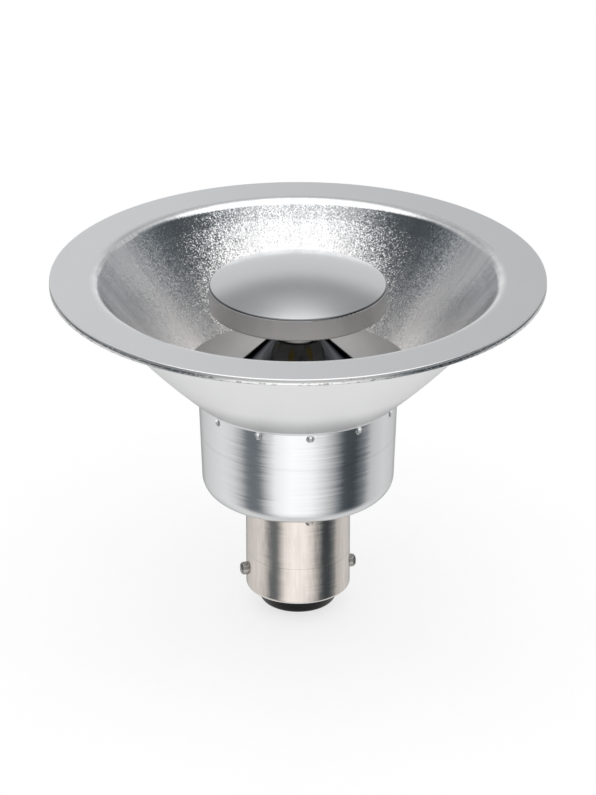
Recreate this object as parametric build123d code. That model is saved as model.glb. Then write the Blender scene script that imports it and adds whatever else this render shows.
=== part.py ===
import os
from math import cos, radians, sin, sqrt, tan

from build123d import *

# Reflector spot lamp with a double-contact bayonet cap, in millimetres.
# The lamp axis is Z, the light leaves upward, and Z = 0 is the plane of the two
# bayonet pins, which lie along X.

# Clearances shared by the whole lamp
fit_gap = 0.15
loose_gap = 0.4

# Reflector: flat flange, rolled lip, bowl wall, web and crimped neck
rim_radius = 35.0
rim_thickness = 1.0
rim_height = 45.5
rim_width = 6.4
lip_fillet = 1.75
rim_edge_fillet = 0.2
wall_curve = 100.0
wall_thickness = 1.75
flange_root_fillet = 1.2
floor_depth = 14.2
floor_radius = 16.1
web_thickness = 2.3
foot_fillet = 1.4
neck_depth = 3.1
neck_wall = 1.1

# Floor plate, polished cone and the post that carries the centre cap
plate_thickness = 1.3
cone_base_radius = 8.5
cone_angle = 45.0
cone_land = 0.35
post_radius = 3.0
post_tail_radius = 2.4
post_stud_radius = 1.5
post_stud_length = 2.7
post_bore_radius = 1.2
post_port_radius = 0.6
post_port_drop = 2.5
washer_radius = 4.6
washer_thickness = 0.6
nut_across_flats = 8.0
nut_height = 2.4
tail_proud = 0.6

# Centre cap and the light engine under it
cap_radius = 12.6
cap_drop = 4.55
cap_skirt = 3.25
cap_rise = 2.2
cap_edge_fillet = 0.35
cap_wall = 0.9
led_board_thickness = 1.0
led_board_recess = 0.35
led_count = 6
led_wire_clearance = 0.5
led_size = 3.0
led_height = 0.55
phosphor_radius = 1.1
phosphor_depth = 0.25
board_screw_count = 3
board_screw_phase = 30.0
board_screw_margin = 0.75
board_screw_radius = 0.8
board_screw_length = 2.3
board_screw_head_radius = 1.5
board_screw_head_height = 1.0
board_screw_slot = 0.4

# Drawn housing cup with its ring of punched crimps
cup_rim_radius = 14.2
cup_foot_radius = 13.65
cup_height = 15.1
cup_sheet = 0.8
cup_corner = 2.35
crimp_count = 12
crimp_phase = -2.5
crimp_drop = 1.0
crimp_radius = 0.6
crimp_depth = 0.42
crimp_pip_share = 0.8

# Bayonet cap: shell, pins, insulator and the two contacts
shell_radius = 7.5
shell_sheet = 0.4
shell_foot = -2.8
shell_corner = 0.5
shell_lip = 0.5
collar_width = 1.5
collar_thickness = 0.4
shell_crimp_count = 3
shell_crimp_phase = -87.0
shell_crimp_drop = 2.15
shell_crimp_radius = 0.62
shell_crimp_depth = 0.3
pin_radius = 0.95
pin_proud = 0.95
pin_end_fillet = 0.55
pin_dish_radius = 0.35
pin_dish_depth = 0.15
pin_head_radius = 1.35
pin_head_thickness = 0.5
insulator_clearance = 0.15
insulator_foot = -5.4
insulator_inset = 2.0
insulator_fillet = 1.2
contact_margin = 0.15
contact_radius = 1.35
contact_rise = 0.5
contact_shank_radius = 0.7

# Driver inside the cup
sleeve_wall = 0.9
sleeve_neck_foot = 4.6
sleeve_ledge = 0.7
driver_lift = 5.4
driver_board_thickness = 1.2
capacitor_radius = 4.0
capacitor_length = 10.5
capacitor_bead = 0.35
capacitor_vent_share = 1.2
choke_angle = 62.0
choke_radius = 2.6
choke_height = 3.2
choke_flange = 0.5
choke_waist = 1.3
choke_turn_count = 5
bridge_angle = 180.0
bridge_lead_count = 2
bridge_length = 4.6
bridge_width = 3.8
bridge_height = 2.3
chip_angle = -50.0
chip_lead_count = 4
chip_length = 4.9
chip_width = 3.9
chip_height = 1.5
lead_thickness = 0.2
lead_width = 0.45
lead_reach = 0.9
small_length = 2.0
small_width = 1.25
small_height = 0.6
small_body_share = 0.6
small_end_drop = 0.06
small_inner_ring_radius = 5.6
small_inner_angles = (18.0, 125.0, -125.0)
small_outer_ring_radius = 8.7
small_outer_angles = (14.0, 105.0, 135.0, -110.0)
wire_radius = 0.4
wire_bend = 0.6
led_wire_stand = 2.0
led_wire_offset = 0.55

# Heights that follow from the sizes above
flange_under = rim_height - rim_thickness
mouth_radius = rim_radius - rim_width
floor_top = rim_height - floor_depth
web_top = floor_top - plate_thickness
web_foot = web_top - web_thickness
neck_foot = web_foot - neck_depth
neck_radius = cup_rim_radius - cup_sheet - 2 * fit_gap
crimp_height = web_foot - crimp_drop
cup_foot = web_foot - cup_height
collar_top = cup_foot + cup_sheet + collar_thickness
cap_foot = rim_height - cap_drop
cap_edge = cap_foot + cap_skirt
cap_top = cap_edge + cap_rise
led_board_foot = cap_foot + led_board_recess
led_board_top = led_board_foot + led_board_thickness
led_board_radius = cap_radius - cap_wall - fit_gap
nut_foot = web_foot - washer_thickness - nut_height
post_foot = nut_foot - tail_proud
post_port_height = led_board_foot - post_port_drop
sleeve_foot = collar_top
sleeve_top = neck_foot - loose_gap
sleeve_radius = cup_foot_radius - cup_sheet - loose_gap
driver_foot = sleeve_foot + driver_lift
driver_top = driver_foot + driver_board_thickness
driver_radius = sleeve_radius - sleeve_wall - fit_gap
shell_bore = shell_radius - shell_sheet
sleeve_neck_radius = shell_bore - 2 * fit_gap
pin_reach = shell_radius + pin_proud
insulator_top = -pin_head_radius - insulator_clearance
insulator_foot_radius = shell_bore - insulator_inset
contact_offset = insulator_foot_radius - insulator_fillet - contact_radius - contact_margin
supply_wire_ring_radius = (capacitor_radius + sleeve_neck_radius - sleeve_wall) / 2
led_wire_pad = post_radius + led_wire_stand
led_ring_radius = led_wire_pad + wire_radius + led_wire_clearance + led_size / 2
board_screw_ring_radius = led_board_radius - board_screw_head_radius - board_screw_margin
shell_crimp_height = cup_foot - shell_crimp_drop
groove_half = crimp_radius + loose_gap + fit_gap
shell_groove_half = shell_crimp_radius + loose_gap + fit_gap

# Centre of the arc that draws the bowl wall from the floor edge to the mouth
chord_r = mouth_radius - floor_radius
chord_z = rim_height - floor_top
chord = sqrt(chord_r**2 + chord_z**2)
arc_rise = sqrt(wall_curve**2 - (chord / 2) ** 2)
arc_r = (mouth_radius + floor_radius) / 2 - arc_rise * chord_z / chord
arc_z = (rim_height + floor_top) / 2 + arc_rise * chord_r / chord


def wall_at(height, offset=0.0):
    # Radius of the bowl wall at a height, offset outward through the metal
    return arc_r + sqrt((wall_curve + offset) ** 2 - (height - arc_z) ** 2)


def wall_line(low, high, offset=0.0):
    # Profile arc of the bowl wall between two heights
    middle = (low + high) / 2
    ends = [(wall_at(z, offset), z) for z in (low, middle, high)]
    return ThreePointArc(*ends)


def corner(face, r, z):
    return face.vertices().sort_by_distance((r, z))[0]


def rounded(face, radius, *spots):
    for r, z in spots:
        face = fillet(corner(face, r, z), radius)
    return face


def turned(face):
    return revolve(Plane.XZ * face, Axis.Z)


def turned_points(*points):
    return turned(make_face(Polyline(*points, close=True)))


def disc(radius, low, high, x=0.0, y=0.0):
    base = Pos(x, y, low) * Circle(radius)
    return extrude(base, high - low)


def block(length, width, low, high, x=0.0, y=0.0, turn=0.0):
    base = Pos(x, y, low) * Rot(0, 0, turn) * Rectangle(length, width)
    return extrude(base, high - low)


def polar(radius, angle):
    return radius * cos(radians(angle)), radius * sin(radians(angle))


def ring_angles(count, phase):
    return [phase + 360.0 * k / count for k in range(count)]


def wire(points, bend):
    path = FilletPolyline(*points, radius=bend)
    start = Plane(origin=path @ 0, z_dir=path % 0)
    return sweep(start * Circle(wire_radius), path=path)


def bowl_profile():
    foot_r = wall_at(web_foot, wall_thickness)
    root_r = wall_at(flange_under, wall_thickness)
    inner_r = wall_at(web_top)
    edges = [
        Polyline(
            (foot_r, web_foot),
            (neck_radius, web_foot),
            (neck_radius, neck_foot),
            (neck_radius - neck_wall, neck_foot),
            (neck_radius - neck_wall, web_foot),
            (post_tail_radius + fit_gap, web_foot),
            (post_tail_radius + fit_gap, web_top),
            (inner_r, web_top),
        ),
        wall_line(web_top, rim_height),
        Polyline(
            (mouth_radius, rim_height),
            (rim_radius, rim_height),
            (rim_radius, flange_under),
            (root_r, flange_under),
        ),
        wall_line(web_foot, flange_under, wall_thickness),
    ]
    face = make_face(edges)
    face = rounded(face, lip_fillet, (mouth_radius, rim_height))
    face = rounded(face, flange_root_fillet, (root_r, flange_under))
    face = rounded(face, foot_fillet, (foot_r, web_foot))
    edge_spots = ((rim_radius, rim_height), (rim_radius, flange_under))
    return rounded(face, rim_edge_fillet, *edge_spots)


def make_reflector():
    body = turned(bowl_profile())
    groove_depth = neck_wall / 2
    groove = turned_points(
        (neck_radius - groove_depth, crimp_height - groove_half + groove_depth),
        (neck_radius + fit_gap, crimp_height - groove_half - fit_gap),
        (neck_radius + fit_gap, crimp_height + groove_half - groove_depth),
        (neck_radius - groove_depth, crimp_height + groove_half - groove_depth),
    )
    return body - groove


def make_floor_plate():
    edge_gap = fit_gap / 2
    return turned_points(
        (post_tail_radius + fit_gap, web_top),
        (wall_at(web_top) - edge_gap, web_top),
        (wall_at(floor_top) - edge_gap, floor_top),
        (post_tail_radius + fit_gap, floor_top),
    )


def make_mirror_cone():
    bore = post_radius + fit_gap
    top_radius = bore + cone_land
    rise = (cone_base_radius - top_radius) * tan(radians(cone_angle))
    return turned_points(
        (bore, floor_top),
        (cone_base_radius, floor_top),
        (top_radius, floor_top + rise),
        (bore, floor_top + rise),
    )


def make_post():
    body = turned_points(
        (0, post_foot),
        (post_tail_radius, post_foot),
        (post_tail_radius, floor_top),
        (post_radius, floor_top),
        (post_radius, led_board_foot),
        (post_stud_radius, led_board_foot),
        (post_stud_radius, led_board_foot + post_stud_length),
        (0, led_board_foot + post_stud_length),
    )
    body -= disc(post_bore_radius, post_foot, post_port_height + post_port_radius)
    port = Plane.YZ.offset(-post_radius) * Pos(0, post_port_height) * Circle(post_port_radius)
    body -= extrude(port, 2 * post_radius)
    return body


def make_washer():
    washer = disc(washer_radius, web_foot - washer_thickness, web_foot)
    return washer - disc(post_tail_radius + fit_gap, nut_foot, web_foot)


def make_nut():
    flat = nut_across_flats / 2
    past_corner = flat / cos(radians(30)) + fit_gap
    across = RegularPolygon(flat, 6, major_radius=False)
    nut = extrude(Pos(0, 0, nut_foot) * across, nut_height)
    chamfered = turned_points(
        (0, nut_foot),
        (flat, nut_foot),
        (past_corner, nut_foot + loose_gap),
        (past_corner, nut_foot + nut_height),
        (0, nut_foot + nut_height),
    )
    return (nut & chamfered) - disc(post_tail_radius + fit_gap / 3, nut_foot, web_foot)


def make_centre_cap():
    dome_radius = (cap_radius**2 + cap_rise**2) / (2 * cap_rise)
    half_angle = radians(45) * cap_rise / cap_radius
    dome_mid = dome_radius * sin(half_angle)
    dome_mid_z = cap_top - dome_radius * (1 - cos(half_angle))
    pocket = cap_radius - cap_wall
    edges = [
        Polyline(
            (0, cap_top),
            (0, led_board_top),
            (pocket, led_board_top),
            (pocket, cap_foot),
            (cap_radius, cap_foot),
            (cap_radius, cap_edge),
        ),
        ThreePointArc((cap_radius, cap_edge), (dome_mid, dome_mid_z), (0, cap_top)),
    ]
    face = make_face(edges)
    face = rounded(face, cap_edge_fillet, (cap_radius, cap_edge))
    face = rounded(face, cap_wall / 4, (cap_radius, cap_foot))
    body = turned(face)
    stud_hole = led_board_foot + post_stud_length + loose_gap
    body -= disc(post_stud_radius + fit_gap / 2, led_board_top, stud_hole)
    screw_hole = led_board_foot + board_screw_length + loose_gap / 2
    for angle in ring_angles(board_screw_count, board_screw_phase):
        x, y = polar(board_screw_ring_radius, angle)
        body -= disc(board_screw_radius + fit_gap / 2, led_board_top, screw_hole, x, y)
    return body


def make_led_board():
    board = disc(led_board_radius, led_board_foot, led_board_top)
    board -= disc(post_stud_radius + fit_gap, led_board_foot, led_board_top)
    for angle in ring_angles(board_screw_count, board_screw_phase):
        x, y = polar(board_screw_ring_radius, angle)
        board -= disc(board_screw_radius + fit_gap, led_board_foot, led_board_top, x, y)
    return board


def make_led_packages():
    packages = []
    low = led_board_foot - led_height
    for angle in ring_angles(led_count, 0.0):
        x, y = polar(led_ring_radius, angle)
        package = block(led_size, led_size, low, led_board_foot, x, y, angle)
        well = disc(phosphor_radius + fit_gap / 2, low, low + phosphor_depth, x, y)
        packages.append(package - well)
    return packages


def make_led_phosphors():
    low = led_board_foot - led_height
    spots = [polar(led_ring_radius, angle) for angle in ring_angles(led_count, 0.0)]
    return [disc(phosphor_radius, low, low + phosphor_depth, x, y) for x, y in spots]


def make_board_screws():
    screws = []
    head_foot = led_board_foot - board_screw_head_height
    for angle in ring_angles(board_screw_count, board_screw_phase):
        x, y = polar(board_screw_ring_radius, angle)
        head = disc(board_screw_head_radius, head_foot, led_board_foot, x, y)
        head = fillet(head.edges().sort_by(Axis.Z)[0], board_screw_head_height / 3)
        slot = block(
            2.5 * board_screw_head_radius,
            board_screw_slot,
            head_foot,
            head_foot + board_screw_head_height / 2,
            x,
            y,
            angle,
        )
        shank = disc(board_screw_radius, led_board_foot, led_board_foot + board_screw_length, x, y)
        screws.append(head - slot + shank)
    return screws


def make_led_wires():
    wires = []
    for side in (-1, 1):
        points = [
            (side * led_wire_pad, 0, led_board_foot),
            (side * led_wire_pad, 0, post_port_height),
            (side * led_wire_offset, 0, post_port_height),
            (side * led_wire_offset, 0, driver_top),
        ]
        wires.append(wire(points, wire_bend))
    return wires


def radial_ball(tip_reach, ball_radius, height, angle):
    # Ball whose innermost point is at a distance from the lamp axis
    return Rot(0, 0, angle) * Pos(tip_reach + ball_radius, 0, height) * Rot(0, 90, 0) * Sphere(ball_radius)


def crimped(body, sheet_radius, sheet, height, radius, depth, angles):
    # Round punch marks: a ball-shaped pocket outside and the pip that it leaves inside
    punch = (radius**2 + depth**2) / (2 * depth)
    pip = punch + sheet / 3
    pip_tip = sheet_radius - sheet - depth * crimp_pip_share
    core = disc(sheet_radius - sheet / 2, height - 2 * pip, height + 2 * pip)
    pips = [radial_ball(pip_tip, pip, height, angle) & core for angle in angles]
    pockets = [radial_ball(sheet_radius - depth, punch, height, angle) for angle in angles]
    body += pips
    for pocket in pockets:
        body -= pocket
    return body


def make_housing_cup():
    inner_foot = cup_foot + cup_sheet
    bore = shell_radius + fit_gap
    slope = (cup_rim_radius - cup_foot_radius) / cup_height
    inner_rim = cup_rim_radius - cup_sheet
    inner_low = cup_foot_radius + slope * cup_sheet - cup_sheet
    face = make_face(
        Polyline(
            (bore, cup_foot),
            (cup_foot_radius, cup_foot),
            (cup_rim_radius, web_foot),
            (inner_rim, web_foot),
            (inner_low, inner_foot),
            (bore, inner_foot),
            close=True,
        )
    )
    face = rounded(face, cup_corner, (cup_foot_radius, cup_foot))
    face = rounded(face, cup_corner - cup_sheet, (inner_low, inner_foot))
    face = rounded(face, cup_sheet / 4, (cup_rim_radius, web_foot))
    # The seam of the turned sheet falls midway between two punch marks
    body = Rot(0, 0, crimp_phase + 180.0 / crimp_count) * turned(face)
    sheet_r = cup_rim_radius - slope * crimp_drop
    angles = ring_angles(crimp_count, crimp_phase)
    return crimped(body, sheet_r, cup_sheet, crimp_height, crimp_radius, crimp_depth, angles)


def make_insulating_sleeve():
    bore = sleeve_neck_radius - sleeve_wall
    ledge_radius = sleeve_radius - sleeve_wall - sleeve_ledge
    edges = Polyline(
        (bore, sleeve_neck_foot),
        (sleeve_neck_radius, sleeve_neck_foot),
        (sleeve_neck_radius, sleeve_foot),
        (sleeve_radius, sleeve_foot),
        (sleeve_radius, sleeve_top),
        (sleeve_radius - sleeve_wall, sleeve_top),
        (sleeve_radius - sleeve_wall, driver_foot),
        (ledge_radius, driver_foot),
        (ledge_radius, sleeve_foot + sleeve_wall),
        (bore, sleeve_foot + sleeve_wall),
        close=True,
    )
    face = rounded(make_face(edges), cup_corner - loose_gap, (sleeve_radius, sleeve_foot))
    body = turned(face)
    groove_low = shell_crimp_height - shell_groove_half
    groove_high = shell_crimp_height + shell_groove_half
    groove = disc(sleeve_neck_radius + fit_gap, groove_low, groove_high)
    groove -= disc(sleeve_neck_radius - shell_crimp_depth, sleeve_neck_foot, sleeve_foot)
    return body - groove


def make_driver_board():
    board = disc(driver_radius, driver_foot, driver_top)
    for side in (-1, 1):
        hole_y = side * supply_wire_ring_radius
        board -= disc(wire_radius + fit_gap, driver_foot, driver_top, 0, hole_y)
    return board


def make_capacitor():
    low = driver_foot - capacitor_length
    can = disc(capacitor_radius, low, driver_foot)
    can = fillet(can.edges().sort_by(Axis.Z)[0], capacitor_bead)
    bead_height = driver_foot - 2 * capacitor_bead - small_height
    ring = Pos(0, 0, bead_height) * Torus(capacitor_radius + capacitor_bead / 2, capacitor_bead)
    vent_length = capacitor_radius * capacitor_vent_share
    vent = block(vent_length, lead_width, low, low + lead_thickness)
    cross = block(lead_width, vent_length, low, low + lead_thickness)
    return can - ring - vent - cross


def choke_centre():
    return polar(driver_radius - choke_radius - 2 * loose_gap, choke_angle)


def make_choke_core():
    x, y = choke_centre()
    top = driver_top + choke_height
    core = turned_points(
        (0, driver_top),
        (choke_radius, driver_top),
        (choke_radius, driver_top + choke_flange),
        (choke_waist, driver_top + choke_flange),
        (choke_waist, top - choke_flange),
        (choke_radius, top - choke_flange),
        (choke_radius, top),
        (0, top),
    )
    return Pos(x, y) * core


def make_choke_winding():
    # Enamelled turns drawn as ridges along the waist of the drum core
    x, y = choke_centre()
    low = driver_top + choke_flange + fit_gap / 3
    high = driver_top + choke_height - choke_flange - fit_gap / 3
    pitch = (high - low) / choke_turn_count
    outer = choke_radius - fit_gap
    points = [(choke_waist + fit_gap / 3, low)]
    for k in range(choke_turn_count):
        points.append((outer - pitch / 3, low + k * pitch))
        points.append((outer, low + (k + 0.5) * pitch))
    points.append((outer - pitch / 3, high))
    points.append((choke_waist + fit_gap / 3, high))
    return Pos(x, y) * turned_points(*points)


def package_leads(length, width, count, height):
    # Bent strips along both long sides of a surface-mounted body
    leads = []
    pitch = length / count
    for k in range(count):
        x = (k + 0.5) * pitch - length / 2
        for side in (-1, 1):
            reach = block(lead_width, lead_reach, driver_top, driver_top + lead_thickness)
            rise = block(lead_width, lead_thickness, driver_top, driver_top + height / 2)
            root = width / 2 + lead_thickness / 2
            leads.append(Pos(x, side * (width / 2 + lead_reach / 2)) * reach)
            leads.append(Pos(x, side * root) * rise)
    return leads


def make_package(length, width, height, count, x, y, turn):
    low = driver_top + lead_thickness / 2
    body = block(length, width, low, driver_top + height)
    body = chamfer(body.faces().sort_by(Axis.Z)[-1].edges(), height / 6)
    for lead in package_leads(length, width, count, height):
        body += lead
    return Pos(x, y) * Rot(0, 0, turn) * body


def make_bridge_rectifier():
    x, y = polar(driver_radius - bridge_length / 2 - 2 * loose_gap, bridge_angle)
    turn = bridge_angle + 90
    return make_package(bridge_length, bridge_width, bridge_height, bridge_lead_count, x, y, turn)


def make_driver_chip():
    x, y = polar(driver_radius - chip_length / 2 - 2 * loose_gap, chip_angle)
    turn = chip_angle + 90
    return make_package(chip_length, chip_width, chip_height, chip_lead_count, x, y, turn)


def make_small_parts():
    # Chip resistors and capacitors, each with its two metal ends
    parts = []
    spots = [(small_inner_ring_radius, angle) for angle in small_inner_angles]
    spots += [(small_outer_ring_radius, angle) for angle in small_outer_angles]
    body_length = small_length * small_body_share
    top = driver_top + small_height
    for radius, angle in spots:
        x, y = polar(radius, angle)
        body = block(body_length, small_width, driver_top, top)
        ends = block(small_length, small_width, driver_top, top - small_end_drop)
        parts.append(Pos(x, y) * Rot(0, 0, angle + 90) * (body + ends))
    return parts


def make_supply_wires():
    wires = []
    top_of_shank = insulator_top + loose_gap
    inward = supply_wire_ring_radius - contact_offset
    bend_height = sleeve_neck_foot - 2 * inward + 1
    for side in (-1, 1):
        points = [
            (0, side * supply_wire_ring_radius, driver_top),
            (0, side * supply_wire_ring_radius, sleeve_neck_foot),
            (0, side * contact_offset, bend_height),
            (0, side * contact_offset, top_of_shank),
        ]
        wires.append(wire(points, wire_bend))
    return wires


def make_bayonet_shell():
    collar_r = shell_radius + collar_width
    collar_foot = cup_foot + cup_sheet
    lip_r = shell_bore - shell_lip
    face = make_face(
        Polyline(
            (shell_radius, shell_foot),
            (shell_radius, collar_foot),
            (collar_r, collar_foot),
            (collar_r, collar_top),
            (shell_bore, collar_top),
            (shell_bore, shell_foot + shell_sheet),
            (lip_r, shell_foot + shell_sheet),
            (lip_r, shell_foot),
            close=True,
        )
    )
    face = rounded(face, shell_corner, (shell_radius, shell_foot))
    face = rounded(face, fit_gap / 2, (shell_bore, shell_foot + shell_sheet))
    body = Rot(0, 0, shell_crimp_phase + 180.0 / shell_crimp_count) * turned(face)
    for turn in (0, 180):
        hole = Plane.YZ.offset(shell_bore - shell_sheet) * Circle(pin_radius + fit_gap / 3)
        body -= Rot(0, 0, turn) * extrude(hole, 3 * shell_sheet)
    angles = ring_angles(shell_crimp_count, shell_crimp_phase)
    height, depth = shell_crimp_height, shell_crimp_depth
    return crimped(body, shell_radius, shell_sheet, height, shell_crimp_radius, depth, angles)


def make_bayonet_pins():
    head_outer = shell_bore - 2 * fit_gap
    head_inner = head_outer - pin_head_thickness
    face = make_face(
        Polyline(
            (0, head_inner),
            (pin_head_radius, head_inner),
            (pin_head_radius, head_outer),
            (pin_radius, head_outer),
            (pin_radius, pin_reach),
            (pin_dish_radius, pin_reach),
            (0, pin_reach - pin_dish_depth),
            close=True,
        )
    )
    face = rounded(face, pin_end_fillet, (pin_radius, pin_reach))
    pin = Rot(0, 90, 0) * turned(face)
    return [pin, Rot(0, 0, 180) * pin]


def make_base_insulator():
    bore = shell_bore - fit_gap
    lip_r = shell_bore - shell_lip - fit_gap
    lip_top = shell_foot + shell_sheet + fit_gap
    face = make_face(
        Polyline(
            (0, insulator_top),
            (bore, insulator_top),
            (bore, lip_top),
            (lip_r, lip_top),
            (lip_r, shell_foot),
            (insulator_foot_radius, insulator_foot),
            (0, insulator_foot),
            close=True,
        )
    )
    face = rounded(face, insulator_fillet, (insulator_foot_radius, insulator_foot))
    body = turned(face)
    for side in (-1, 1):
        hole_y = side * contact_offset
        body -= disc(contact_shank_radius + fit_gap / 2, insulator_foot, insulator_top, 0, hole_y)
    return body


def make_contacts():
    dome_radius = (contact_radius**2 + contact_rise**2) / (2 * contact_rise)
    half_angle = radians(45) * contact_rise / contact_radius
    tip = insulator_foot - contact_rise
    mid = (dome_radius * sin(half_angle), tip + dome_radius * (1 - cos(half_angle)))
    top = insulator_top + loose_gap
    edges = [
        Polyline(
            (0, tip),
            (0, top),
            (contact_shank_radius, top),
            (contact_shank_radius, insulator_foot),
            (contact_radius, insulator_foot),
        ),
        ThreePointArc((contact_radius, insulator_foot), mid, (0, tip)),
    ]
    contact = turned(make_face(edges))
    return [Pos(0, side * contact_offset, 0) * contact for side in (-1, 1)]


nodes = {
    "reflector": make_reflector,
    "floor_plate": make_floor_plate,
    "mirror_cone": make_mirror_cone,
    "heat_post": make_post,
    "post_washer": make_washer,
    "post_nut": make_nut,
    "centre_cap": make_centre_cap,
    "led_board": make_led_board,
    "led_packages": make_led_packages,
    "led_phosphors": make_led_phosphors,
    "board_screws": make_board_screws,
    "led_wires": make_led_wires,
    "housing_cup": make_housing_cup,
    "insulating_sleeve": make_insulating_sleeve,
    "driver_board": make_driver_board,
    "smoothing_capacitor": make_capacitor,
    "choke_core": make_choke_core,
    "choke_winding": make_choke_winding,
    "bridge_rectifier": make_bridge_rectifier,
    "driver_chip": make_driver_chip,
    "small_parts": make_small_parts,
    "supply_wires": make_supply_wires,
    "bayonet_shell": make_bayonet_shell,
    "bayonet_pins": make_bayonet_pins,
    "base_insulator": make_base_insulator,
    "contacts": make_contacts,
}

os.makedirs("parts", exist_ok=True)
for name, make in nodes.items():
    made = make()
    solids = made if isinstance(made, list) else [made]
    whole = Compound(children=[piece.solid() for piece in solids])
    whole.label = name
    export_step(whole, f"parts/{name}.step")
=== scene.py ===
from math import cos, degrees, pi, radians, sin

import bpy
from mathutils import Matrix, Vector


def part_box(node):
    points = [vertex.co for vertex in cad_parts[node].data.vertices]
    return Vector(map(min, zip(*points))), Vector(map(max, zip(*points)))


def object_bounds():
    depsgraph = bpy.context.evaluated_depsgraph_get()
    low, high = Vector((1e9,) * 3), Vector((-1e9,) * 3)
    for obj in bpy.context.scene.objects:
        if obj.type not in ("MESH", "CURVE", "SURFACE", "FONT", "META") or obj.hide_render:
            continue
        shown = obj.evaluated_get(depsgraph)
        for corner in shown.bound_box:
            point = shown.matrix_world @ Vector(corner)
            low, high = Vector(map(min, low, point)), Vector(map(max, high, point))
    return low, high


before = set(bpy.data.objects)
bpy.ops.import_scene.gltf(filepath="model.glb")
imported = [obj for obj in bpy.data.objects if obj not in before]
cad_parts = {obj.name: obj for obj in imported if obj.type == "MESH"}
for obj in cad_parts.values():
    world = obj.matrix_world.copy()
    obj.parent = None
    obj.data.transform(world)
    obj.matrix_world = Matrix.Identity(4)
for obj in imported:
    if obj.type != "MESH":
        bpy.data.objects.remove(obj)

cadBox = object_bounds()
mm = 0.001
white = (1, 1, 1, 1)
print("frame loaded:", len(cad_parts), "nodes")


class Wire:
    # one socket of a node tree; arithmetic on it adds Math nodes
    def __init__(self, tree, socket=None):
        self.tree = tree
        self.socket = socket

    def make(self, kind, settings=None, values=None, out=0):
        node = self.tree.nodes.new(kind)
        for name, value in (settings or {}).items():
            if name == "stops":
                fillRamp(node.color_ramp, value)
            else:
                setattr(node, name, value)
        for name, value in (values or {}).items():
            if isinstance(value, Wire):
                self.tree.links.new(value.socket, node.inputs[name])
            else:
                node.inputs[name].default_value = value
        return Wire(self.tree, node.outputs[out] if node.outputs else None)

    def out(self, name):
        return Wire(self.tree, self.socket.node.outputs[name])

    def sum(self, operation, first, second):
        return self.make("ShaderNodeMath", {"operation": operation}, {0: first, 1: second})

    def __add__(self, other):
        return self.sum("ADD", self, other)

    def __radd__(self, other):
        return self.sum("ADD", other, self)

    def __sub__(self, other):
        return self.sum("SUBTRACT", self, other)

    def __rsub__(self, other):
        return self.sum("SUBTRACT", other, self)

    def __mul__(self, other):
        return self.sum("MULTIPLY", self, other)

    def __rmul__(self, other):
        return self.sum("MULTIPLY", other, self)

    def __truediv__(self, other):
        return self.sum("DIVIDE", self, other)

    def __rtruediv__(self, other):
        return self.sum("DIVIDE", other, self)

    def __pow__(self, other):
        return self.sum("POWER", self, other)

    def __abs__(self):
        return self.sum("ABSOLUTE", self, 0.0)


def fillRamp(ramp, stops):
    while len(ramp.elements) < len(stops):
        ramp.elements.new(0.5)
    for element, (place, level) in zip(ramp.elements, stops):
        element.position = place
        element.color = (level, level, level, 1)


def smooth(wire, low, high, start=0.0, end=1.0):
    values = {"Value": wire, "From Min": low, "From Max": high, "To Min": start, "To Max": end}
    return wire.make("ShaderNodeMapRange", {"interpolation_type": "SMOOTHSTEP"}, values)


def between(mask, first, second):
    # for plain values: the first where the mask is 0, the second where it is 1
    return first * (1 - mask) + mask * second


def blend(mask, first, second):
    # colours go through Mix, so that they stay colours
    values = {0: mask, 6: first, 7: second}
    return mask.make("ShaderNodeMix", {"data_type": "RGBA"}, values, out=2)


def blendVectors(mask, first, second):
    values = {0: mask, 4: first, 5: second}
    return mask.make("ShaderNodeMix", {"data_type": "VECTOR"}, values, out=1)


def vectorMath(operation, vector, values=None):
    values = {0: vector, **(values or {})}
    return vector.make("ShaderNodeVectorMath", {"operation": operation}, values)


def stretched(place, x, y, z):
    return vectorMath("MULTIPLY", place, {1: (x, y, z)})


def vectorOf(wire, x, y, z=0.0):
    return wire.make("ShaderNodeCombineXYZ", {}, {0: x, 1: y, 2: z})


def noise(place, scale=1.0, detail=2.0, rough=0.5):
    values = {"Vector": place, "Scale": scale, "Detail": detail, "Roughness": rough}
    return place.make("ShaderNodeTexNoise", {}, values)


def clouds(place, scale):
    return noise(place, scale, detail=3.0)


def swing(wire, amount):
    # a noise as an equal plus and minus
    return (wire - 0.5) * amount


def cells(place, scale):
    return place.make("ShaderNodeTexVoronoi", {}, {"Vector": place, "Scale": scale})


def bump(height, depth, normal=None):
    values = {"Strength": 1.0, "Distance": depth, "Height": height}
    if normal:
        values["Normal"] = normal
    return height.make("ShaderNodeBump", {}, values)


def colour(grey, tint=(1, 1, 1)):
    return (grey * tint[0], grey * tint[1], grey * tint[2], 1)


def below(level, drops):
    return [level - drop for drop in drops]


def newFinish(name):
    finish = bpy.data.materials.new(name)
    finish.use_nodes = True
    finish.node_tree.nodes.clear()
    return finish, Wire(finish.node_tree)


def coat(finish, wire, values):
    shader = wire.make("ShaderNodeBsdfPrincipled", {}, values)
    wire.make("ShaderNodeOutputMaterial", {}, {"Surface": shader})
    return finish


def objectPlace(wire):
    return wire.make("ShaderNodeTexCoord", out="Object")


def plainNormal(wire):
    return wire.make("ShaderNodeNewGeometry", out="Normal")


def lampPlace(wire):
    # a point's place on the lamp: its vector, the vector's parts and the distance from the axis
    place = objectPlace(wire)
    parts = wire.make("ShaderNodeSeparateXYZ", {}, {0: place})
    x, y, z = parts, parts.out(1), parts.out(2)
    radius = (x * x + y * y) ** 0.5
    return place, x, y, z, radius


def dress(finish, *names):
    for name in names:
        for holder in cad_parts[name].material_slots:
            holder.material = finish
    print("finish", finish.name, "on", ", ".join(names))


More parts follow.
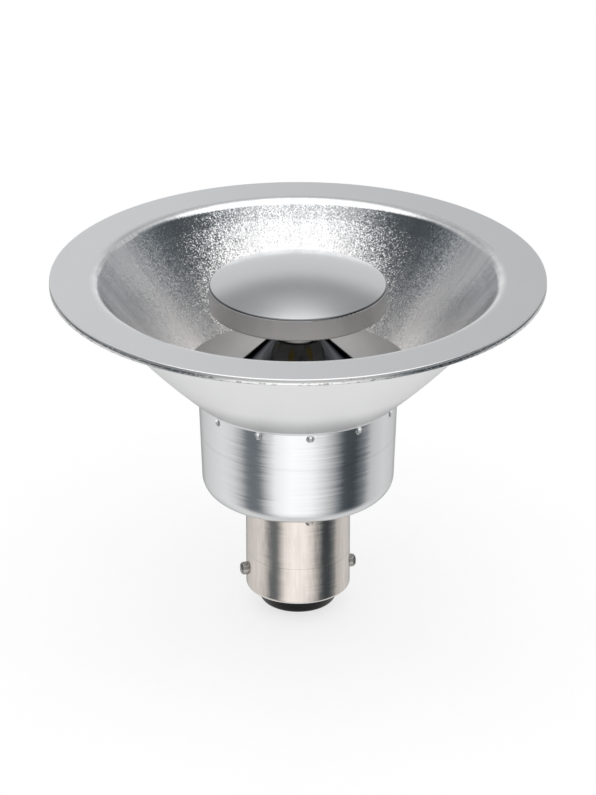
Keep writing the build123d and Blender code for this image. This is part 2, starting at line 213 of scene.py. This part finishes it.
# camera, at the photograph's angle and distance
cameraLook = {
    "azimuth": -9.5,
    "elevation": 24.94,
    "distance": 0.640,
    "aimHeight": 26.6 * mm,
    "lens": 203.47,
    "sensor": 36.0,
    "clip": (0.01, 20.0),
}


def makeCamera(look):
    a, e = radians(look["azimuth"]), radians(look["elevation"])
    back = Vector((sin(a) * cos(e), -cos(a) * cos(e), sin(e)))
    data = bpy.data.cameras.new("lampCamera")
    data.lens = look["lens"]
    data.sensor_width = look["sensor"]
    data.clip_start, data.clip_end = look["clip"]
    camera = bpy.data.objects.new("lampCamera", data)
    camera.location = Vector((0, 0, look["aimHeight"])) + back * look["distance"]
    camera.rotation_mode = "QUATERNION"
    camera.rotation_quaternion = (-back).to_track_quat("-Z", "Y")
    bpy.context.scene.collection.objects.link(camera)
    bpy.context.scene.camera = camera
    print("camera", [round(v, 4) for v in camera.location])


# room: a white ceiling sheet, a pale wall behind, a white table, and a dark gap between them
# heights are degrees from level, bearings are degrees from the front
studioLook = {
    "front": -9.5,
    "ceiling": 1.30,
    # height of the sheet's edge at each bearing
    "ceilingEdge": [
        (-180, 62), (-147, 60), (-120, 55), (-95, 50), (-60, 52), (-45, 50), (-20, 46), (20, 46),
        (45, 46), (60, 48), (80, 48), (100, 50), (120, 55), (147, 60), (180, 62),
    ],
    "ceilingBlur": 5.0,
    "wall": 0.40,
    "wallStart": (92.0, 125.0),  # bearings between which the gap gives way to the wall
    # paler patches of the wall: light, heights, bearing of the middle, reach to its sides
    "wallPatches": [
        (0.38, (39.0, 23.0), 180.0, (40.0, 17.0)),  # near the table
        (0.62, (39.0, 69.0), 180.0, (26.0, 2.0)),  # near the ceiling
        (0.16, (18.0, 28.0), 129.0, (21.0, 7.0)),  # at both sides, above the table
    ],
    "gap": [
        (-180, 0.075), (-62, 0.075), (-38, 0.45), (0, 0.55), (38, 0.45), (62, 0.075), (180, 0.075),
    ],
    "gapPatch": (0.40, (23.0, 14.0), 180.0, (140.0, 110.0)),  # a paler strip low down at both sides
    "shadeTint": (0.84, 0.97, 1.08, 1),
    "shadeLevels": (0.05, 0.5),  # brightness from the full tint to none
    "tableEdge": -5.0,
    "tableBlur": 6.0,
    "tableRim": 0.15,  # what is left of the light in the shade along its edge, at both sides
    "rimHeights": (10.0, 5.0),
    "rimMiddle": 95.0,
    "rimReach": (62.0, 45.0),
    # brightness of the table at each bearing
    "table": [
        (-180, 0.34), (-162, 0.40), (-148, 0.60), (-125, 0.72), (-100, 0.82), (-84, 0.74),
        (-72, 0.48), (-64, 0.20), (-56, 0.17), (-47, 0.18), (-40, 0.50), (-28, 1.00), (-8, 1.20),
        (16, 1.10), (30, 0.80), (42, 0.48), (56, 0.08), (72, 0.06), (86, 0.22), (97, 0.60),
        (122, 0.72), (148, 0.62), (162, 0.46), (180, 0.34),
    ],
    "underfoot": 0.72,
    "underfootHeights": (-30.0, -74.0),
}


def around(turn, stops):
    # a level that depends on the bearing, from a ramp over the full circle
    highest = max(level for bearing, level in stops)
    places = [(bearing / 360 + 0.5, level / highest) for bearing, level in stops]
    ramp = turn.make("ShaderNodeValToRGB", {"stops": places}, {0: turn * (0.5 / pi) + 0.5})
    return ramp * highest


def patch(rise, bearing, light, heights, middle, reach):
    return smooth(rise, *heights, 0.0, light) * smooth(abs(bearing - middle), *reach)


def makeRoom(look):
    world = bpy.data.worlds.new("studioRoom")
    world.use_nodes = True
    world.node_tree.nodes.clear()
    wire = Wire(world.node_tree)
    a = radians(look["front"])
    toward = wire.make("ShaderNodeTexCoord", out="Generated")
    parts = wire.make("ShaderNodeSeparateXYZ", {}, {0: toward})
    x, y, z = parts, parts.out(1), parts.out(2)
    ahead = x * sin(a) - y * cos(a)
    aside = x * cos(a) + y * sin(a)
    turn = wire.make("ShaderNodeMath", {"operation": "ARCTAN2"}, {0: aside, 1: ahead})
    rise = wire.make("ShaderNodeMath", {"operation": "ARCSINE"}, {0: z}) * degrees(1)
    bearing = abs(turn) * degrees(1)

    wall = look["wall"]
    for spot in look["wallPatches"]:
        wall = patch(rise, bearing, *spot) + wall
    gap = around(turn, look["gap"]) + patch(rise, bearing, *look["gapPatch"])
    room = between(smooth(bearing, *look["wallStart"]), gap, wall)
    under = smooth(rise, *look["underfootHeights"])
    table = between(under, around(turn, look["table"]), look["underfoot"])
    edge, blur = look["tableEdge"], look["tableBlur"]
    level = between(smooth(rise, edge - blur, edge + blur), table, room)

    beside = smooth(abs(bearing - look["rimMiddle"]), *look["rimReach"])
    shade = smooth(abs(rise - edge), *look["rimHeights"]) * beside
    level = level * (1 - shade * (1 - look["tableRim"]))
    overEdge = rise - around(turn, look["ceilingEdge"])
    ceiling = smooth(overEdge, -look["ceilingBlur"], look["ceilingBlur"])
    level = between(ceiling, level, look["ceiling"])
    tint = blend(smooth(level, *look["shadeLevels"]), look["shadeTint"], white)
    light = wire.make("ShaderNodeBackground", {}, {"Color": tint, "Strength": level})
    wire.make("ShaderNodeOutputWorld", {}, {"Surface": light})
    bpy.context.scene.world = world
    bpy.context.scene.view_settings.view_transform = "Standard"
    print("room lit")


# floor: a white light table, so that the shadow stays faint
floorLook = {
    "half": 3.0,
    "grey": 0.34,
    "mottle": 0.02,
    "mottleScale": 40.0,
    "rough": 0.8,
    "glow": 0.74,
    "tooth": 900.0,
    "toothDepth": 0.02 * mm,
}


def makeFloor(look):
    half, height = look["half"], cadBox[0].z
    square = [(-half, -half), (half, -half), (half, half), (-half, half)]
    corners = [(x, y, height) for x, y in square]
    mesh = bpy.data.meshes.new("paleFloor")
    mesh.from_pydata(corners, [], [(0, 1, 2, 3)])
    floor = bpy.data.objects.new("paleFloor", mesh)
    bpy.context.scene.collection.objects.link(floor)
    finish, wire = newFinish("paleFloorPaint")
    place = objectPlace(wire)
    mottle = noise(place, look["mottleScale"], detail=4.0)
    dark, light = look["grey"] - look["mottle"], look["grey"] + look["mottle"]
    values = {
        "Base Color": blend(mottle, colour(dark), colour(light)),
        "Roughness": look["rough"],
        "Emission Color": white,
        "Emission Strength": look["glow"],
        "Normal": bump(noise(place, look["tooth"]), look["toothDepth"]),
    }
    mesh.materials.append(coat(finish, wire, values))
    floor.visible_glossy = False  # the metal sees the room's white table instead
    print("floor at", round(height, 5))


# reflector: satin flange, bright rolled lip, peened bowl, sheared edge, satin outside
reflectorLook = {
    "flangeGrey": 0.785,
    "flangeRough": 0.36,
    "flangeSpread": (0.07, 0.05),  # changes of roughness, by its clouds and by its grain
    "flangeLightAndShade": 0.09,  # painted light and shade: how much the flange lightens at -x and darkens at +x
    "bowlGrey": 0.97,
    "bowlRough": (0.15, 0.26),  # at the top and at the foot
    "outsideGrey": 0.90,
    "outsideRough": 0.35,
    "outsideSpread": 0.08,
    "outsideMetal": 0.55,
    "edgeGrey": 0.88,
    "edgeRough": 0.20,
    "edgeLean": (-0.05, 0.30),  # how far the sheared edge leans back at its foot and at its top
    "paintedJointShade": (33.2 * mm, 28.0 * mm),  # heights between which the outside darkens: painted shade where the bowl meets the cup
    "jointShadeWaver": 0.3 * mm,
    "jointShadeDark": 0.55,
    "coolTint": (0.985, 0.995, 1.01),
    "warmTint": (1.0, 0.965, 0.945),
    "peenScale": 7600.0,
    "peenTilt": 0.15,
    "peenSides": 0.45,  # how much of it is left at the sides and the front of the bowl
    "peenBack": (-0.1, 0.75),  # where it grows to its full tilt, from the side to the back
    "peenShade": (0.16, 0.30),  # at the top and at the foot
    "peenDark": 0.4,
    "bowlTilt": 0.04,  # a little of the same tilt on the whole bowl
    "fineStreaks": 75.0,
    "wideStreaks": 11.0,
    "streakRun": 5.0,  # how fast they change down the wall
    "streakDepth": 0.004 * mm,
    "streakShade": 0.30,
    "streakFade": 0.75,  # how much of the shade is gone at the foot
    "streakMix": 0.5,
    "streakRange": (0.36, 0.68),
    "streakDark": 0.5,
    "streakRough": 0.12,
    "satin": 5200.0,
    "satinDepth": 0.002 * mm,
    "cloud": 130.0,
    "nicks": 1500.0,
    "nickSquash": 2.0,
    "nickGrowth": 190.0,  # how fast they fill the edge, downwards
    "nickRange": (0.66, 0.80),
    "nickDepth": 0.022 * mm,
    "nickDark": 0.55,
    "nickRough": 0.15,
    # radius and height of the wall's two ends and the radius of its arc, as in the solid
    "wallFoot": (16.1 * mm, 31.3 * mm),
    "wallTop": (28.6 * mm, 45.5 * mm),
    "wallCurve": 100.0 * mm,
    "wallMiddle": (1.7 * mm, 1.1 * mm),  # from its outside to its inside, outward from its chord
    "bandFoot": (42.9 * mm, 43.1 * mm),  # a steeper band runs round the top of the wall
    "bandLean": 0.065,
    "lip": (28.2 * mm, 29.6 * mm),  # radii between which the lip turns into the flange
    # how far under the rim, or inside it, one surface gives way to the next
    "flangeDrop": (0.9 * mm, 0.15 * mm),
    "peenDrop": (0.55 * mm, 0.95 * mm),
    "edgeDrop": (0.14 * mm, 0.04 * mm),
    "leanDrop": (0.95 * mm, 0.25 * mm),
}


def makeReflectorFinish(look):
    finish, wire = newFinish("peenedReflector")
    place, x, y, z, radius = lampPlace(wire)
    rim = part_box("reflector")[1]
    footRadius, footHeight = look["wallFoot"]
    topRadius, topHeight = look["wallTop"]
    slope = (topRadius - footRadius) / (topHeight - footHeight)
    outward = radius - (z - footHeight) * slope - footRadius
    inside = smooth(outward, *look["wallMiddle"])
    flange = smooth(z, *below(rim.z, look["flangeDrop"])) * smooth(radius, *look["lip"])
    bowl = inside * (1 - flange)
    peened = inside * smooth(z, *below(rim.z, look["peenDrop"]))
    depth = smooth(z, topHeight, footHeight)
    edge = smooth(radius, *below(rim.x, look["edgeDrop"]))

    # direction to the centre of the arc that draws the wall: the bowl's true normal
    chord = Vector((topRadius - footRadius, topHeight - footHeight))
    middle = Vector((topRadius + footRadius, topHeight + footHeight)) / 2
    toCentre = (look["wallCurve"] ** 2 - chord.length_squared / 4) ** 0.5
    centre = middle + Vector((-chord.y, chord.x)).normalized() * toCentre
    inward = centre.x / radius - 1
    wallNormal = vectorMath("NORMALIZE", vectorOf(wire, x * inward, y * inward, centre.y - z))
    band = smooth(z, *look["bandFoot"], 0.0, look["bandLean"]) / radius
    wallNormal = vectorMath("SUBTRACT", wallNormal, {1: vectorOf(wire, x * band, y * band)})

    # a vector that changes slowly down the wall, for the streaks of the spinning tool
    across = vectorOf(wire, x / radius, y / radius, radius * look["streakRun"])
    fineStreaks = noise(across, look["fineStreaks"])
    wideStreaks = noise(across, look["wideStreaks"])
    facets = cells(place, look["peenScale"]).out("Color")
    facetShade = wire.make("ShaderNodeSeparateColor", {}, {0: facets})
    satin = noise(place, look["satin"])
    cloud = clouds(place, look["cloud"])
    nicks = noise(stretched(place, 1, 1, look["nickSquash"]), look["nicks"])
    nicks = smooth(nicks + (rim.z - z) * look["nickGrowth"], *look["nickRange"])

    # colours: outside, flange, bowl and edge
    # painted shade: the outside of the bowl darkens down towards the cup, where the joint lies in
    # shade
    paintedJointShade = smooth(z + swing(cloud, look["jointShadeWaver"]), *look["paintedJointShade"])
    jointShadeGrey = look["outsideGrey"] * look["jointShadeDark"]
    outsideTone = blend(paintedJointShade, colour(look["outsideGrey"]), colour(jointShadeGrey))
    # painted light and shade: the flange lit at -x and shaded at +x
    flangeLitSide = colour(look["flangeGrey"] * (1 + look["flangeLightAndShade"]), look["coolTint"])
    flangeShadedSide = colour(look["flangeGrey"] * (1 - look["flangeLightAndShade"]), look["coolTint"])
    flangeTone = blend(smooth(x, -rim.x, rim.x), flangeLitSide, flangeShadedSide)
    bowlGrey = look["bowlGrey"]
    bowlTone = blend(depth, colour(bowlGrey, look["coolTint"]), colour(bowlGrey, look["warmTint"]))
    streaks = smooth(wideStreaks + swing(fineStreaks, look["streakMix"]), *look["streakRange"])
    streaks = streaks * look["streakShade"] * (1 - depth * look["streakFade"])
    bowlTone = blend(streaks, bowlTone, colour(bowlGrey * look["streakDark"], look["coolTint"]))
    topShade, footShade = look["peenShade"]
    pits = facetShade * (depth * (footShade - topShade) + topShade)
    bowlTone = blend(pits, bowlTone, colour(bowlGrey * look["peenDark"], look["coolTint"]))
    edgeTone = blend(nicks, colour(look["edgeGrey"]), colour(look["edgeGrey"] * look["nickDark"]))
    tone = blend(flange, outsideTone, flangeTone)
    tone = blend(bowl, tone, bowlTone)
    tone = blend(edge, tone, edgeTone)

    outsideRough = look["outsideRough"] + swing(cloud, look["outsideSpread"])
    byCloud, byGrain = look["flangeSpread"]
    flangeRough = look["flangeRough"] + swing(cloud, byCloud) + swing(satin, byGrain)
    topRough, footRough = look["bowlRough"]
    bowlRough = depth * (footRough - topRough) + topRough + swing(fineStreaks, look["streakRough"])
    rough = between(flange, outsideRough, flangeRough)
    rough = between(bowl, rough, bowlRough)
    rough = between(edge, rough, nicks * look["nickRough"] + look["edgeRough"])

    streakRelief = (fineStreaks + wideStreaks) * look["streakDepth"]
    relief = between(bowl, satin * look["satinDepth"], streakRelief)
    relief = relief - nicks * edge * look["nickDepth"]
    tilt = vectorMath("SUBTRACT", facets, {1: (0.5, 0.5, 0.5)})
    struck = smooth(y / radius, *look["peenBack"], look["peenSides"], 1.0)
    share = peened * struck * look["peenTilt"] + bowl * look["bowlTilt"]
    tilt = vectorMath("SCALE", tilt, {"Scale": share})
    edgeLean = smooth(z, *below(rim.z, look["leanDrop"]), *look["edgeLean"]) * edge
    normal = blendVectors(peened, plainNormal(wire), wallNormal)
    normal = vectorMath("ADD", normal, {1: tilt})
    normal = vectorMath("ADD", normal, {1: vectorOf(wire, 0.0, 0.0, edgeLean)})
    values = {
        "Base Color": tone,
        "Roughness": rough,
        "Metallic": 1 - (1 - inside) * (1 - flange) * (1 - edge) * (1 - look["outsideMetal"]),
        "Normal": bump(relief, 1.0, vectorMath("NORMALIZE", normal)),
    }
    return coat(finish, wire, values)


# turned and drawn metal: fine lines run round the lamp
# what only some pieces have, such as a mark or a skirt, is in their own looks
turnedLook = {
    "lineShade": 0.12,
    "lineDark": 0.7,
    "sheen": 1.0,
}


def makeTurnedFinish(name, look):
    look = {**turnedLook, **look}
    finish, wire = newFinish(name)
    place, x, y, z, radius = lampPlace(wire)
    dark, tint = look["dark"], look["tint"]
    lines = stretched(place, look["around"], look["around"], look["lines"])
    lines = noise(lines, detail=3.0, rough=0.6)
    grain = noise(place, look["grain"])
    cloud = clouds(place, look["cloud"])
    tone = blend(cloud, colour(dark, tint), colour(look["light"], tint))
    tone = blend(lines * look["lineShade"], tone, colour(dark * look["lineDark"], tint))
    relief = swing(lines, look["lineDepth"]) + swing(grain, look["grainDepth"])
    rough = look["rough"] + swing(lines, look["roughSpread"]) + swing(cloud, look["roughSpread"])
    normal = None
    if "mark" in look:
        mark = look["mark"]
        groove = smooth(abs(z - mark["height"]), mark["width"], 0.0)
        tone = blend(groove * mark["shade"], tone, colour(dark * mark["dark"], tint))
        relief = relief - groove * mark["depth"]
    if "skirt" in look:
        skirt = look["skirt"]
        side = smooth(radius, *skirt["radius"]) * smooth(z, *skirt["top"])
        tone = blend(side, tone, colour(dark * skirt["dark"], skirt["tint"]))
    # painted shade: a dark line along an edge, for the dark that the edge mirrors
    if "paintedEdgeShade" in look:
        line = look["paintedEdgeShade"]
        edgeShadeMask = smooth(abs(z - line["height"]), *line["width"]) * smooth(radius, *line["radius"])
        tone = blend(edgeShadeMask, tone, colour(dark * line["dark"], tint))
    if "sway" in look:
        shake = swing(lines, look["sway"]) / radius
        upward = smooth(z, *look["rimHeights"], 0.0, look["rimLean"])
        aside = vectorOf(wire, y * shake * -1, x * shake, upward)
        normal = vectorMath("ADD", plainNormal(wire), {1: aside})
        normal = vectorMath("NORMALIZE", normal)
    if "domeCentre" in look:
        ball = vectorMath("SUBTRACT", place, {1: (0, 0, look["domeCentre"])})
        ball = vectorMath("NORMALIZE", ball)
        normal = blendVectors(smooth(z, *look["domeEdge"]), plainNormal(wire), ball)
    # a lighter band: partly wear, partly a painted highlight
    if "rimRubAndHighlight" in look:
        rimRubAndHighlight = look["rimRubAndHighlight"]
        away = ((z - rimRubAndHighlight["height"]) ** 2.0 + (radius - rimRubAndHighlight["radius"]) ** 2.0) ** 0.5
        rubAndHighlight = smooth(away + swing(cloud, rimRubAndHighlight["width"]), rimRubAndHighlight["width"], 0.0)
        tone = blend(rubAndHighlight * rimRubAndHighlight["share"], tone, colour(rimRubAndHighlight["grey"], tint))
        rough = rough + rubAndHighlight * rimRubAndHighlight["rough"]
    values = {
        "Base Color": tone,
        "Roughness": rough,
        "Metallic": 1.0,
        "Specular Tint": colour(look["sheen"]),
        "Normal": bump(relief, 1.0, normal),
    }
    return coat(finish, wire, values)


cupLook = {
    "dark": 0.84,
    "light": 0.90,
    "tint": (0.99, 1.0, 1.01),
    "rough": 0.16,
    "roughSpread": 0.10,
    "around": 60.0,
    "lines": 3800.0,
    "lineDepth": 0.0012 * mm,
    "lineShade": 0.20,
    "sway": 0.13,  # how far the lines shake its reflections
    "rimHeights": (27.20 * mm, 27.32 * mm),  # its rubbed rim leans between these
    "rimLean": -0.32,
    "grain": 3000.0,
    "grainDepth": 0.0015 * mm,
    "cloud": 160.0,
    "mark": {
        "height": 21.8 * mm,
        "width": 0.36 * mm,
        "depth": 0.002 * mm,
        "shade": 0.12,
        "dark": 0.5,
    },
    # a lighter rim: partly wear, partly a painted highlight where the edge catches the light
    "rimRubAndHighlight": {
        "height": 27.65 * mm,
        "radius": 14.2 * mm,
        "width": 0.40 * mm,
        "share": 0.6,
        "grey": 0.97,
        "rough": 0.12,
    },
}

capLook = {
    "dark": 0.66,
    "light": 0.70,
    "tint": (0.985, 1.0, 1.02),
    "rough": 0.20,
    "roughSpread": 0.06,
    "around": 1500.0,
    "lines": 1500.0,
    "lineDepth": 0.001 * mm,
    "grain": 5200.0,
    "grainDepth": 0.002 * mm,
    "cloud": 220.0,
    # radii and heights are where each of these comes in
    "skirt": {
        "radius": (12.4 * mm, 12.55 * mm),
        "top": (44.2 * mm, 43.95 * mm),
        "dark": 0.60,
        "tint": (1.015, 0.995, 0.985),
    },
    # painted shade: a dark line round the edge of the dome, for the dark that its fillet mirrors
    "paintedEdgeShade": {
        "height": 44.17 * mm,
        "width": (0.14 * mm, 0.084 * mm),
        "radius": (12.3 * mm, 12.4 * mm),
        "dark": 0.25,
    },
    "domeEdge": (44.25 * mm, 44.35 * mm),
    "domeCentre": 9.2 * mm,  # height of its ball's centre
}

plateLook = {
    "dark": 0.45,
    "light": 0.51,
    "tint": (1.0, 0.99, 0.985),
    "rough": 0.40,
    "roughSpread": 0.08,
    "around": 900.0,
    "lines": 900.0,
    "lineDepth": 0.001 * mm,
    "grain": 4200.0,
    "grainDepth": 0.002 * mm,
    "cloud": 200.0,
}

# dark metal: the cone's dark colour is a painted reflection of dark surroundings
coneLook = {
    "dark": 0.10,
    "light": 0.16,
    "tint": (0.97, 0.99, 1.03),
    "rough": 0.14,
    "roughSpread": 0.04,
    "around": 350.0,
    "lines": 900.0,
    "lineDepth": 0.002 * mm,
    "grain": 2500.0,
    "grainDepth": 0.001 * mm,
    "cloud": 260.0,
    "sheen": 0.0,
}

postLook = {
    "dark": 0.60,
    "light": 0.74,
    "tint": (1.0, 1.0, 1.0),
    "rough": 0.28,
    "roughSpread": 0.12,
    "around": 60.0,
    "lines": 7000.0,
    "lineDepth": 0.004 * mm,
    "grain": 2600.0,
    "grainDepth": 0.001 * mm,
    "cloud": 300.0,
}

zincLook = {
    "dark": 0.50,
    "light": 0.66,
    "tint": (1.0, 1.0, 1.03),
    "rough": 0.30,
    "roughSpread": 0.14,
    "around": 500.0,
    "lines": 1800.0,
    "lineDepth": 0.002 * mm,
    "grain": 2200.0,
    "grainDepth": 0.003 * mm,
    "cloud": 600.0,
}

pinLook = {
    "dark": 0.34,
    "light": 0.48,
    "tint": (1.03, 1.0, 0.96),
    "rough": 0.16,
    "roughSpread": 0.10,
    "around": 900.0,
    "lines": 900.0,
    "lineDepth": 0.001 * mm,
    "grain": 3800.0,
    "grainDepth": 0.003 * mm,
    "cloud": 700.0,
}

solderLook = {
    "dark": 0.52,
    "light": 0.70,
    "tint": (1.0, 1.0, 1.0),
    "rough": 0.30,
    "roughSpread": 0.22,
    "around": 500.0,
    "lines": 500.0,
    "lineDepth": 0.010 * mm,
    "grain": 1500.0,
    "grainDepth": 0.010 * mm,
    "cloud": 900.0,
}

# nickelled shell: fine upright brushing, a faint ring, rubbed lower rim
shellLook = {
    "grey": 0.80,
    "greySpread": 0.05,
    "tint": (1.07, 0.985, 0.915),
    "rough": 0.17,
    "roughSpread": 0.16,
    "brush": 2400.0,
    "brushRun": 60.0,  # how many times longer than wide
    "brushShade": 0.35,
    "brushDark": 0.7,
    "brushDepth": 0.0015 * mm,
    "brushSway": 0.09,  # how far it shakes the reflections
    "cross": (90.0, 90.0, 3600.0),  # a finer grain round the shell
    "crossShare": 0.6,
    "blotch": 1100.0,
    "blotchRun": 5.0,
    "blotchRange": (0.35, 0.7),
    "blotchShade": 0.20,
    "blotchDark": 0.45,
    "cloud": 260.0,
    "cloudRough": 0.08,
    "ringHeight": 2.9 * mm,
    "ringWidth": 0.10 * mm,
    "ringShade": 0.3,
    "ringDark": 0.5,
    "ringDepth": 0.01 * mm,
    "rimWear": 0.5 * mm,
    "wearWaver": 0.4 * mm,
    "wearGrey": 0.96,
    "wearTint": (1.02, 1.0, 0.97),
}


def makeShellFinish(look):
    finish, wire = newFinish("nickelShell")
    place, x, y, z, radius = lampPlace(wire)
    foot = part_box("bayonet_shell")[0].z
    grey, tint = look["grey"], look["tint"]
    brush = stretched(place, look["brush"], look["brush"], look["brush"] / look["brushRun"])
    brush = noise(brush, rough=0.6)
    cross = noise(stretched(place, *look["cross"]), rough=0.6)
    blotch = stretched(place, look["blotch"], look["blotch"], look["blotch"] / look["blotchRun"])
    blotch = noise(blotch, detail=3.0, rough=0.65)
    cloud = clouds(place, look["cloud"])
    ring = smooth(abs(z - look["ringHeight"]), look["ringWidth"], 0.0)
    wear = smooth(z + swing(cloud, look["wearWaver"]), foot + look["rimWear"], foot)

    dark, light = grey * (1 - look["greySpread"]), grey * (1 + look["greySpread"])
    blotched = smooth(blotch, *look["blotchRange"], 0.0, look["blotchShade"])
    tone = blend(cloud, colour(dark, tint), colour(light, tint))
    tone = blend(brush * look["brushShade"], tone, colour(grey * look["brushDark"], tint))
    tone = blend(blotched, tone, colour(grey * look["blotchDark"], tint))
    tone = blend(wear, tone, colour(look["wearGrey"], look["wearTint"]))
    tone = blend(ring * look["ringShade"], tone, colour(grey * look["ringDark"], tint))

    rough = look["rough"] + swing(brush, look["roughSpread"]) + swing(cloud, look["cloudRough"])
    relief = (brush + cross * look["crossShare"]) * look["brushDepth"] - ring * look["ringDepth"]
    shake = (swing(blotch, look["brushSway"]) + swing(cross, look["brushSway"])) / radius
    aside = vectorOf(wire, y * shake * -1, x * shake)
    normal = vectorMath("NORMALIZE", vectorMath("ADD", plainNormal(wire), {1: aside}))
    values = {
        "Base Color": tone,
        "Roughness": rough,
        "Metallic": 1.0,
        "Normal": bump(relief, 1.0, normal),
    }
    return coat(finish, wire, values)


# black glass of the cap end, with small flow pits
glassLook = {
    "dark": 0.003,
    "light": 0.008,
    "lightTint": (1.0, 0.98, 0.92),
    "rough": 0.20,
    "gloss": 0.08,
    "ior": 1.55,
    "cloud": 420.0,
    "cloudRough": 0.10,
    "cloudShare": 0.4,
    "pits": 1100.0,
    "pitSize": (0.16, 0.05),
    "pitRough": 0.2,
    "pitDepth": 0.010 * mm,
}


def makeGlassFinish(look):
    finish, wire = newFinish("blackCapGlass")
    place = objectPlace(wire)
    cloud = clouds(place, look["cloud"])
    pits = smooth(cells(place, look["pits"]), *look["pitSize"])
    values = {
        "Base Color": blend(cloud, colour(look["dark"]), colour(look["light"], look["lightTint"])),
        "Roughness": look["rough"] + cloud * look["cloudRough"] + pits * look["pitRough"],
        "IOR": look["ior"],
        "Specular IOR Level": look["gloss"],
        "Normal": bump(cloud * look["cloudShare"] - pits, look["pitDepth"]),
    }
    return coat(finish, wire, values)


# moulded, lacquered and ceramic pieces inside the lamp
# each: dark colour, light colour, roughness, scale and depth of its grain
mouldedLooks = {
    "led_board": ((0.80, 0.80, 0.77), (0.90, 0.90, 0.87), 0.38, 900.0, 0.004 * mm),
    "led_packages": ((0.82, 0.80, 0.74), (0.90, 0.88, 0.83), 0.50, 1600.0, 0.006 * mm),
    "led_phosphors": ((0.82, 0.56, 0.06), (0.93, 0.74, 0.16), 0.30, 2600.0, 0.010 * mm),
    "led_wires": ((0.46, 0.03, 0.02), (0.62, 0.06, 0.04), 0.45, 1200.0, 0.006 * mm),
    "supply_wires": ((0.03, 0.03, 0.035), (0.07, 0.07, 0.08), 0.42, 1200.0, 0.006 * mm),
    "insulating_sleeve": ((0.76, 0.75, 0.70), (0.86, 0.85, 0.81), 0.48, 700.0, 0.008 * mm),
    "driver_board": ((0.02, 0.14, 0.06), (0.05, 0.24, 0.10), 0.32, 520.0, 0.010 * mm),
    "smoothing_capacitor": ((0.03, 0.03, 0.05), (0.06, 0.06, 0.09), 0.30, 500.0, 0.006 * mm),
    "choke_core": ((0.05, 0.05, 0.05), (0.10, 0.10, 0.10), 0.60, 2400.0, 0.015 * mm),
    "bridge_rectifier": ((0.03, 0.03, 0.03), (0.06, 0.06, 0.06), 0.52, 3000.0, 0.010 * mm),
    "driver_chip": ((0.03, 0.03, 0.03), (0.06, 0.06, 0.06), 0.52, 3000.0, 0.010 * mm),
    "small_parts": ((0.30, 0.22, 0.14), (0.44, 0.33, 0.22), 0.45, 2600.0, 0.008 * mm),
}

# shared by all of them: coarse clouds and fine grain, as shares of the scale
mouldedGrain = {
    "cloud": 0.3,
    "cloudRough": 0.1,
    "grain": 3.0,
    "grainRough": 0.16,
}


def makeMouldedFinish(name, dark, light, rough, scale, depth, look):
    finish, wire = newFinish(name + "Mould")
    place = objectPlace(wire)
    cloud = clouds(place, scale * look["cloud"])
    grain = noise(place, scale * look["grain"])
    values = {
        "Base Color": blend(cloud, dark + (1,), light + (1,)),
        "Roughness": rough + swing(grain, look["grainRough"]) + swing(cloud, look["cloudRough"]),
        "Normal": bump(grain, depth),
    }
    return coat(finish, wire, values)


# copper wire of the choke
windingLook = {
    "dark": (0.42, 0.13, 0.04, 1),
    "light": (0.66, 0.26, 0.09, 1),
    "rough": 0.26,
    "roughSpread": 0.14,
    "around": 120.0,
    "lines": 9000.0,
    "depth": 0.01 * mm,
}


def makeWindingFinish(look):
    finish, wire = newFinish("copperWinding")
    place = objectPlace(wire)
    turns = noise(stretched(place, look["around"], look["around"], look["lines"]))
    values = {
        "Base Color": blend(turns, look["dark"], look["light"]),
        "Roughness": look["rough"] + swing(turns, look["roughSpread"]),
        "Metallic": 1.0,
        "Normal": bump(turns, look["depth"]),
    }
    return coat(finish, wire, values)


makeCamera(cameraLook)
makeRoom(studioLook)
makeFloor(floorLook)

dress(makeReflectorFinish(reflectorLook), "reflector")
dress(makeTurnedFinish("drawnCup", cupLook), "housing_cup")
dress(makeTurnedFinish("satinCap", capLook), "centre_cap")
dress(makeTurnedFinish("bowlPlate", plateLook), "floor_plate")
dress(makeTurnedFinish("conePaintedDarkReflection", coneLook), "mirror_cone")
dress(makeTurnedFinish("turnedPost", postLook), "heat_post")
dress(makeTurnedFinish("zincPlate", zincLook), "post_washer", "post_nut", "board_screws")
dress(makeTurnedFinish("nickelPin", pinLook), "bayonet_pins")
dress(makeTurnedFinish("solderedTip", solderLook), "contacts")
dress(makeShellFinish(shellLook), "bayonet_shell")
dress(makeGlassFinish(glassLook), "base_insulator")
dress(makeWindingFinish(windingLook), "choke_winding")
for node, look in mouldedLooks.items():
    dress(makeMouldedFinish(node, *look, mouldedGrain), node)
